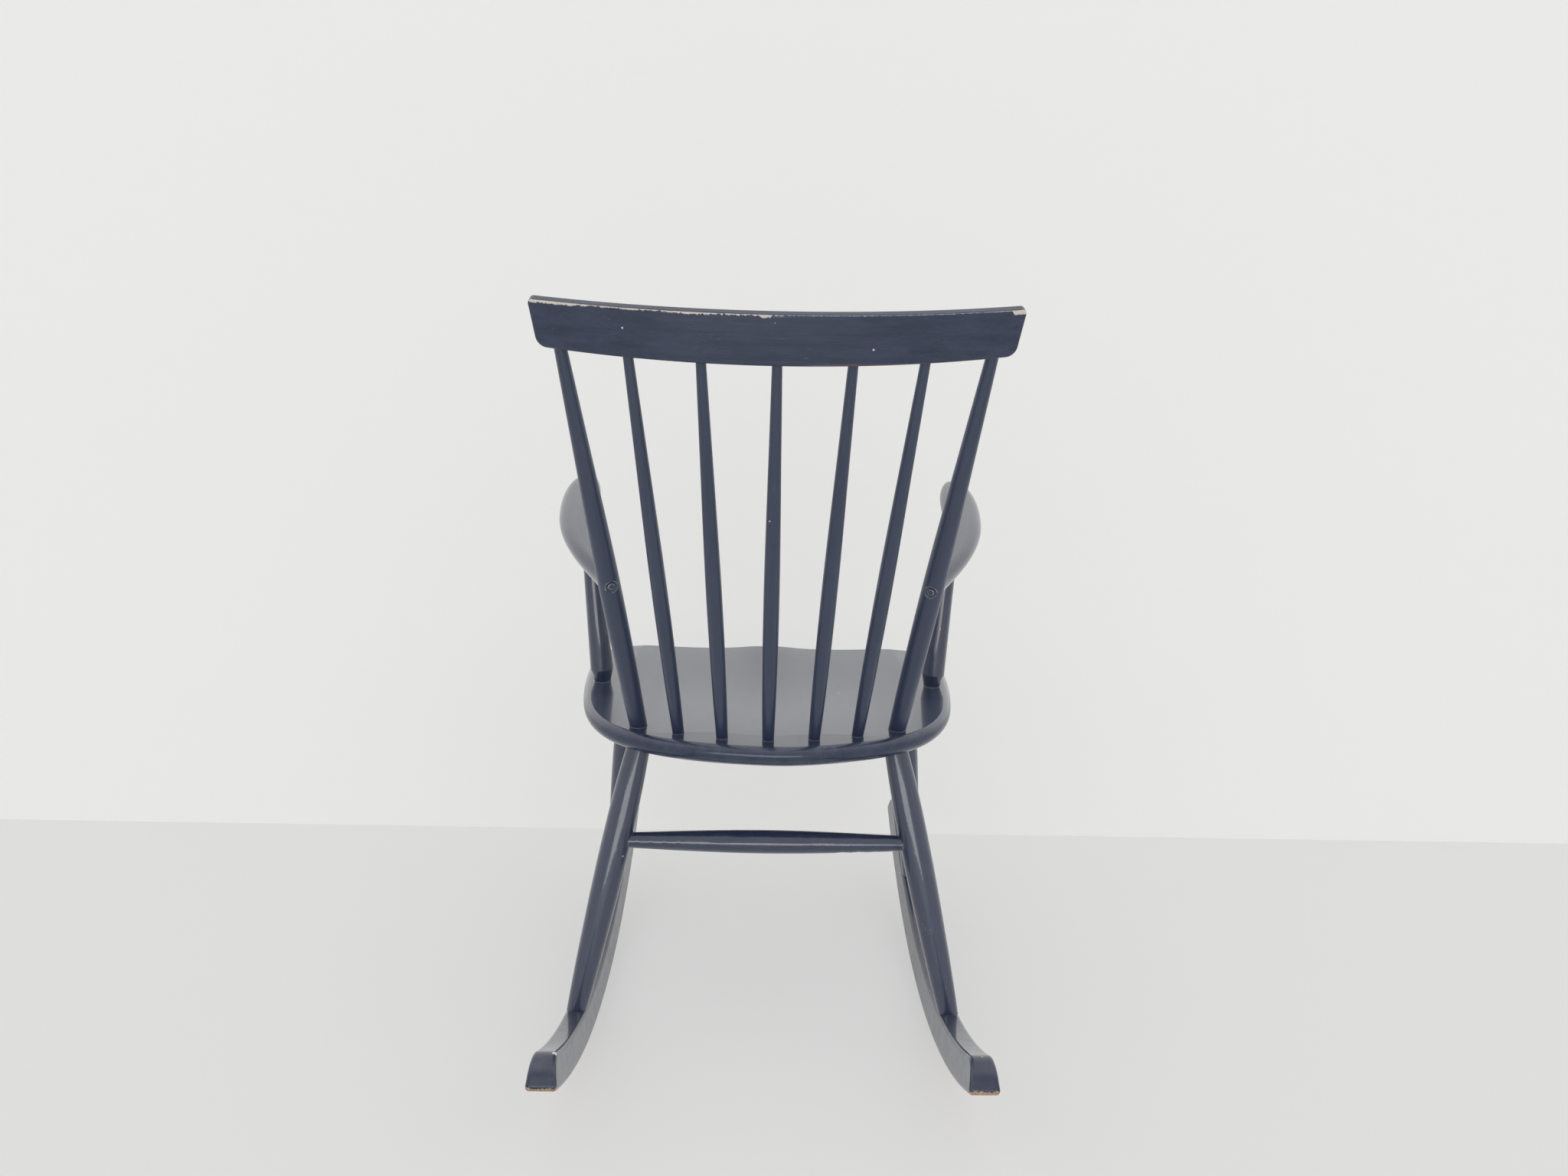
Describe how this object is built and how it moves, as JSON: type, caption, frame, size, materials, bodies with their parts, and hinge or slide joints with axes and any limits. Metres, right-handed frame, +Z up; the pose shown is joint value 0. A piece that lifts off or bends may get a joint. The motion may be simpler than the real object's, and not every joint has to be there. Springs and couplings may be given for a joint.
{
  "type": "rocking chair",
  "caption": "Spindle-back rocking chair with a bent crest rail, hollowed seat board, paddle arms on turned supports and curved rockers.",
  "frame": {"origin": "on the floor under the middle of the chair's box, with the chair standing as it comes to rest when empty", "axes": "+Z up, the sitter faces -Y, the sitter's left is +X"},
  "size_m": [0.5494, 0.7648, 0.8743],
  "materials": {
    "lacquered_wood": "worn black-blue semi-gloss lacquer on wood, bare pale wood at rubbed edges",
    "dark_screw": "painted-over slotted screw, worn on its rim"
  },
  "bodies": {
    "root": {"seat": "lacquered_wood", "crest_rail": "lacquered_wood", "back_spindle_middle": "lacquered_wood", "back_spindle_inner_left": "lacquered_wood", "back_spindle_inner_right": "lacquered_wood", "back_spindle_outer_left": "lacquered_wood", "back_spindle_outer_right": "lacquered_wood", "back_post_left": "lacquered_wood", "back_post_right": "lacquered_wood", "armrest_left": "lacquered_wood", "armrest_right": "lacquered_wood", "arm_support_left": "lacquered_wood", "arm_support_right": "lacquered_wood", "arm_screw_left": "dark_screw", "arm_screw_right": "dark_screw", "rear_leg_left": "lacquered_wood", "rear_leg_right": "lacquered_wood", "front_leg_left": "lacquered_wood", "front_leg_right": "lacquered_wood", "rear_stretcher": "lacquered_wood", "front_stretcher": "lacquered_wood", "rocker_left": "lacquered_wood", "rocker_right": "lacquered_wood"}
  },
  "joints": []
}
